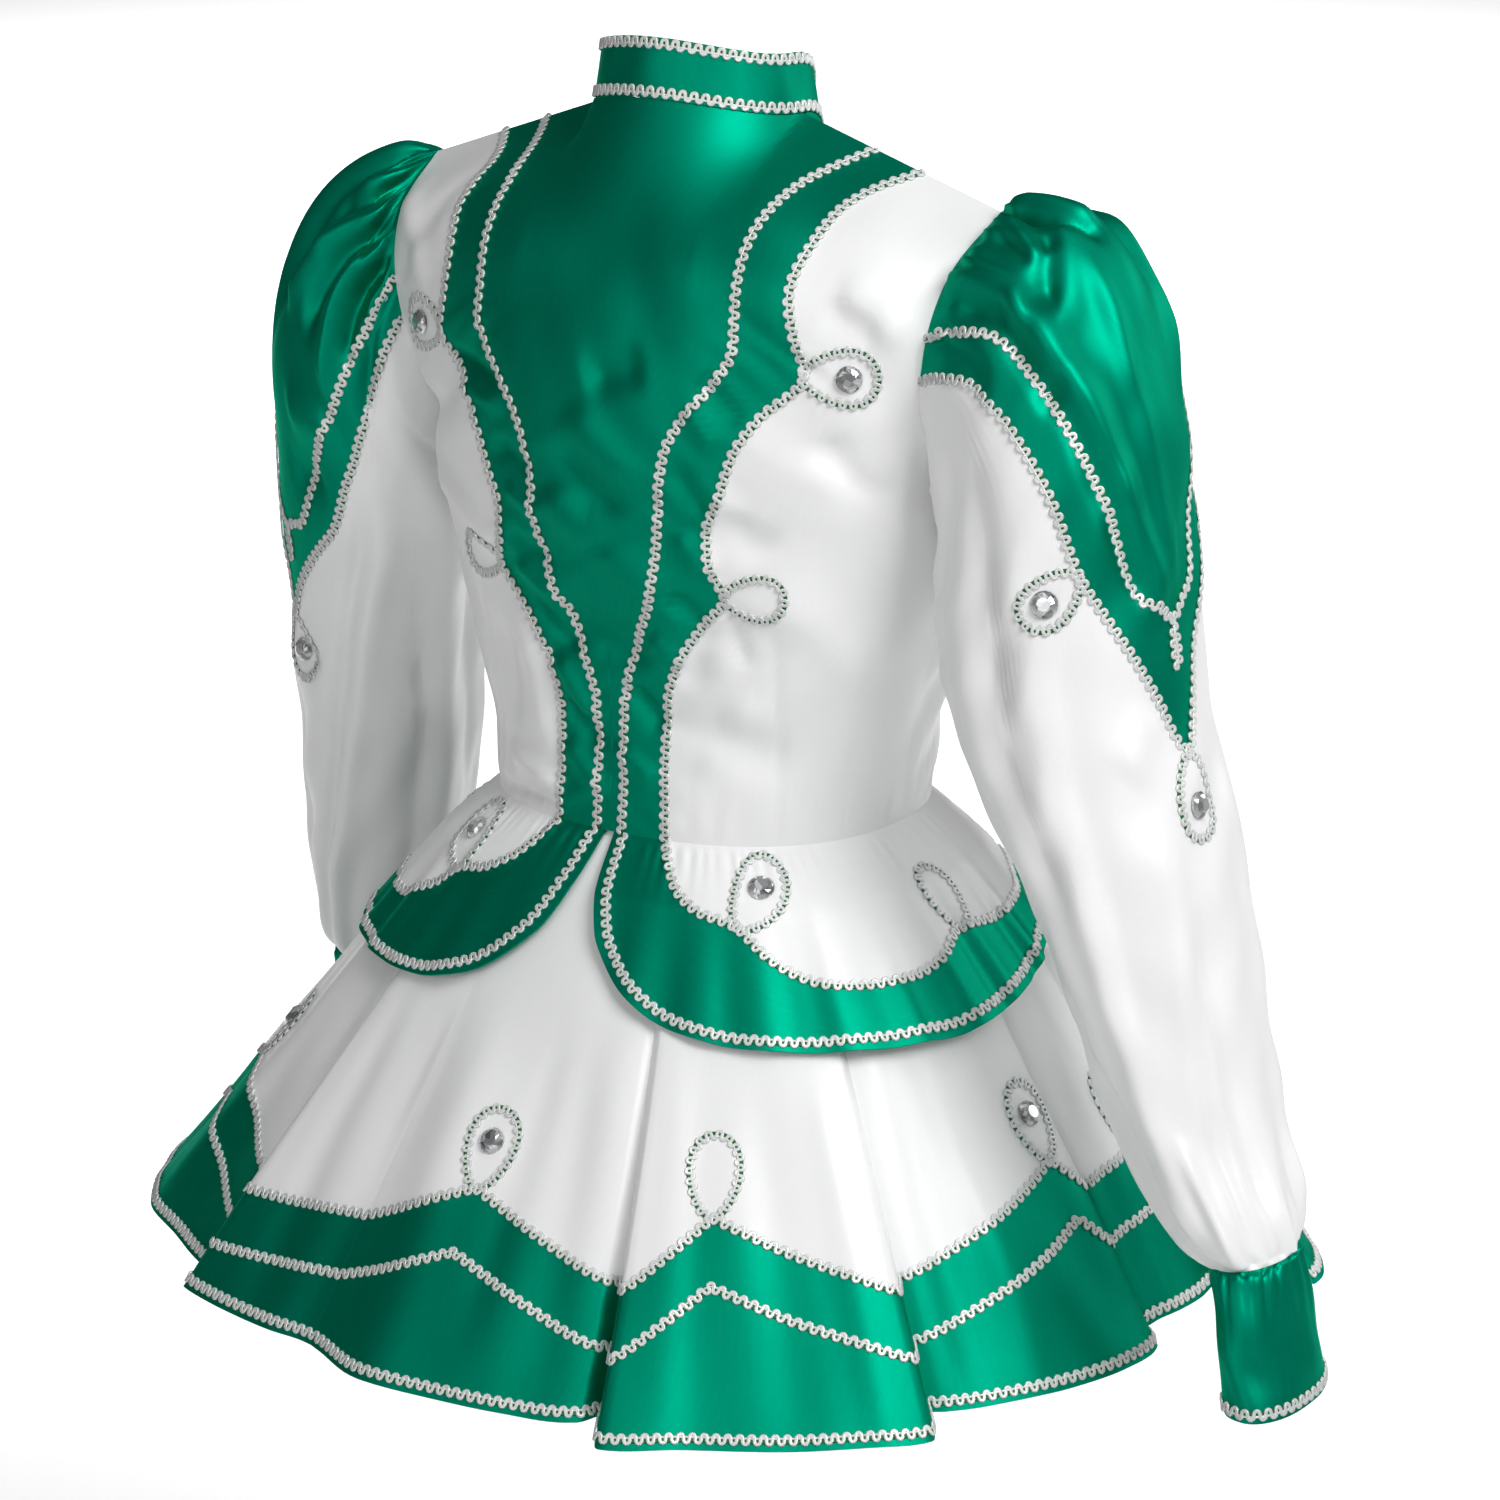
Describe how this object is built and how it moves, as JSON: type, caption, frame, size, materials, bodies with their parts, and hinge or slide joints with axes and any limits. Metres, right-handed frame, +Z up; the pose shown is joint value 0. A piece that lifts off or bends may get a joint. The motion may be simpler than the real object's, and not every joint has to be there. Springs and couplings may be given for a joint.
{
  "type": "majorette dress",
  "caption": "Majorette dress in green and white satin: stand collar, full sleeves, tailed peplum and fluted skirt, edged with scroll braid, loops and clear stones",
  "frame": {"origin": "middle of the neck seam, level with the top of the shoulder seams, on the axis of the body", "axes": "+Z up, -Y the way the wearer faces, +X towards the wearer's left hand"},
  "size_m": [0.8328, 0.5872, 0.7054],
  "materials": {
    "satin_green": "emerald green polyester satin with a soft sheen",
    "satin_white": "white polyester satin with a soft sheen",
    "braid": "silver-white metallic scroll braid",
    "crystal": "faceted clear stone with a foiled back"
  },
  "bodies": {
    "root": {"back_band_left": "satin_green", "back_band_right": "satin_green", "back_centre": "satin_green", "back_side_left": "satin_white", "back_side_right": "satin_white", "collar": "satin_green", "cuff_left": "satin_green", "cuff_right": "satin_green", "front_centre_left": "satin_green", "front_centre_right": "satin_green", "front_side_left": "satin_white", "front_side_right": "satin_white", "peplum_border_left": "satin_green", "peplum_border_right": "satin_green", "peplum_panel_left": "satin_white", "peplum_panel_right": "satin_white", "skirt_band_1": "satin_green", "skirt_band_10": "satin_green", "skirt_band_11": "satin_green", "skirt_band_12": "satin_green", "skirt_band_2": "satin_green", "skirt_band_3": "satin_green", "skirt_band_4": "satin_green", "skirt_band_5": "satin_green", "skirt_band_6": "satin_green", "skirt_band_7": "satin_green", "skirt_band_8": "satin_green", "skirt_band_9": "satin_green", "skirt_gore_1": "satin_white", "skirt_gore_10": "satin_white", "skirt_gore_11": "satin_white", "skirt_gore_12": "satin_white", "skirt_gore_2": "satin_white", "skirt_gore_3": "satin_white", "skirt_gore_4": "satin_white", "skirt_gore_5": "satin_white", "skirt_gore_6": "satin_white", "skirt_gore_7": "satin_white", "skirt_gore_8": "satin_white", "skirt_gore_9": "satin_white", "sleeve_band_left": "satin_green", "sleeve_band_right": "satin_green", "sleeve_cap_left": "satin_green", "sleeve_cap_right": "satin_green", "sleeve_lower_left": "satin_white", "sleeve_lower_right": "satin_white"}
  },
  "joints": []
}
